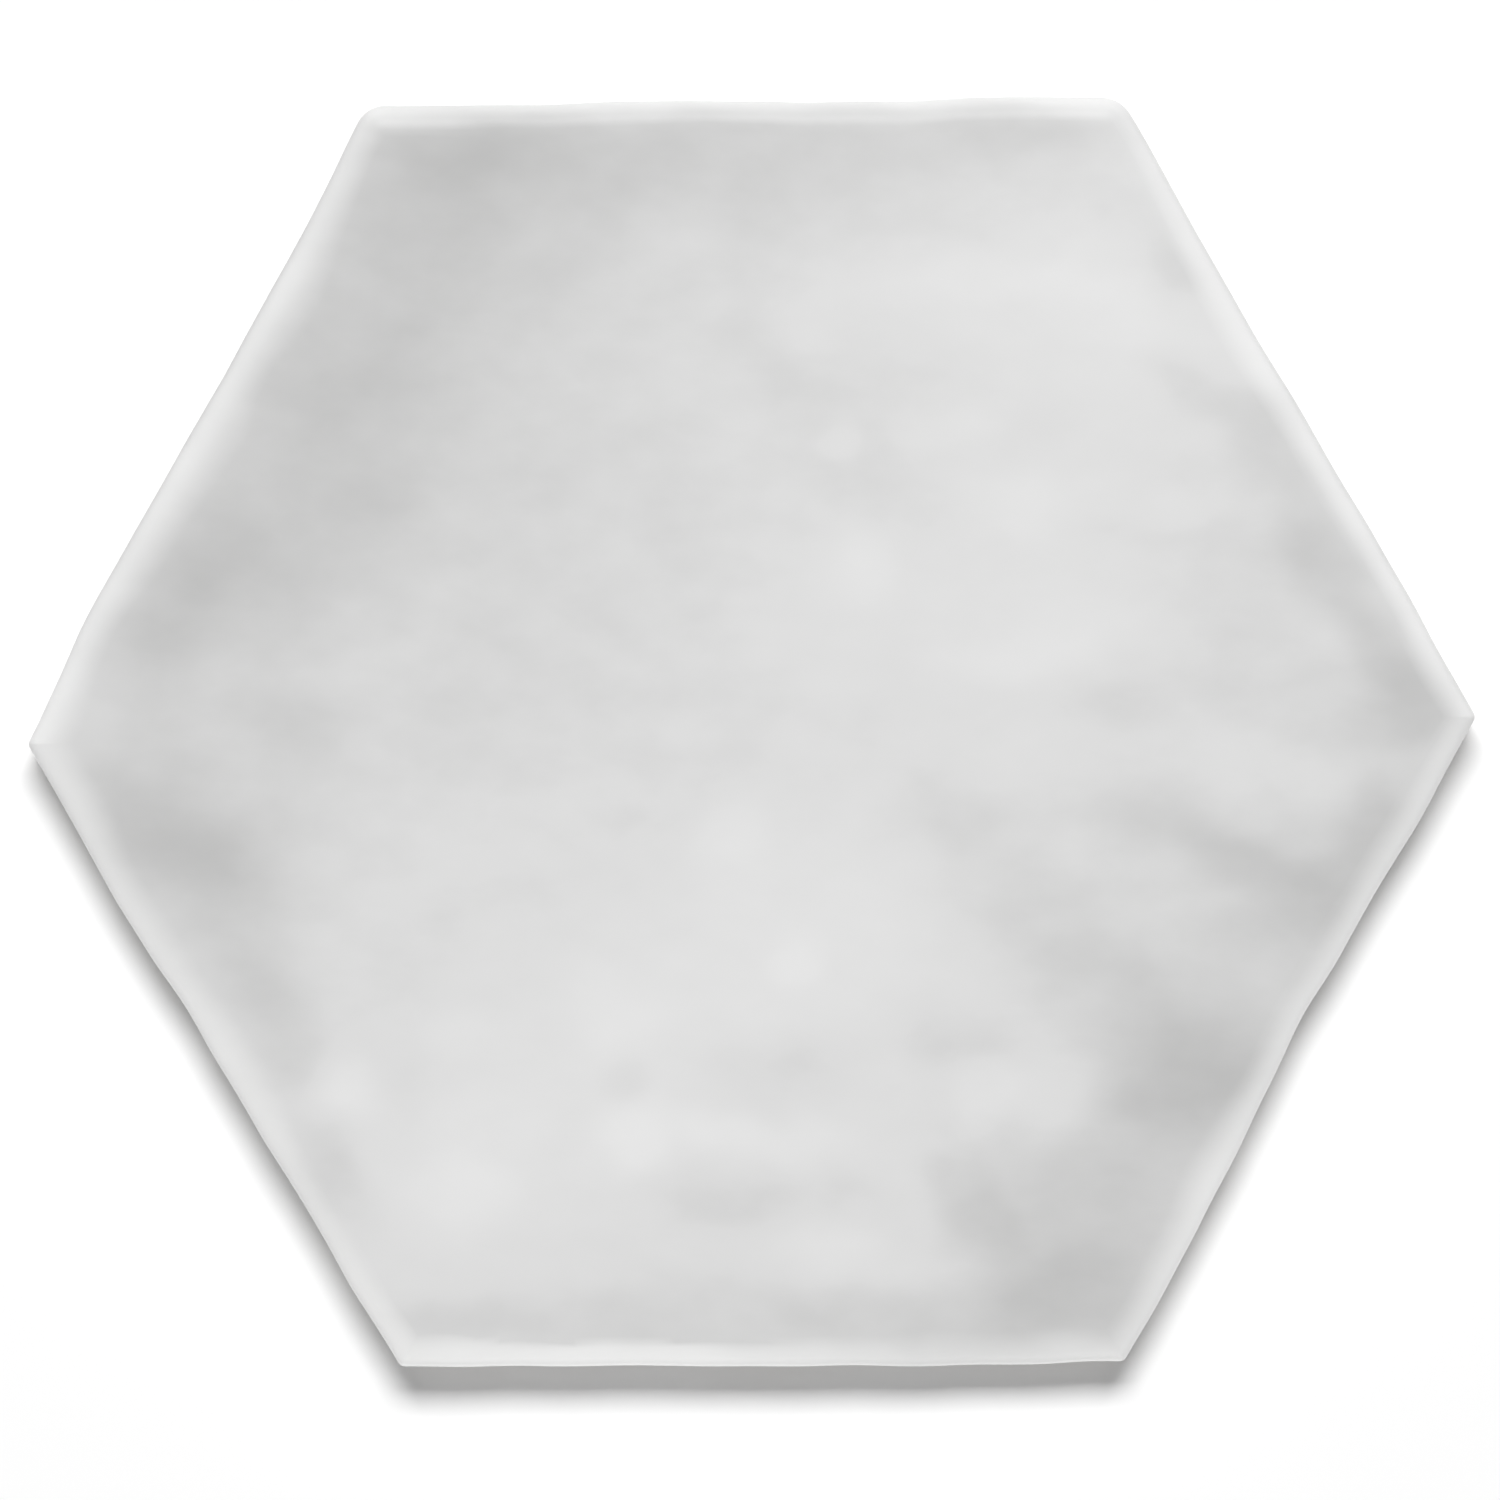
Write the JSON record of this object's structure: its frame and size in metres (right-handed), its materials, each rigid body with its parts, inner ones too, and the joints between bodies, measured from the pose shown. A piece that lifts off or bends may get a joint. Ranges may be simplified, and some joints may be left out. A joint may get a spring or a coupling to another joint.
{
  "type": "hexagon wall tile",
  "caption": "Flat hexagonal ceramic wall tile with a wavy glazed face, rounded arrises, gently uneven sides and a grooved back for its adhesive bed.",
  "frame": {"origin": "middle of the tile's box, on the plane of its back", "axes": "+X from corner to corner, +Y from side to side, +Z out of the glazed face"},
  "size_m": [0.172, 0.151, 0.0095],
  "materials": {
    "glaze": "gloss"
  },
  "bodies": {
    "root": {"hexagon_tile": "glaze"}
  },
  "joints": []
}
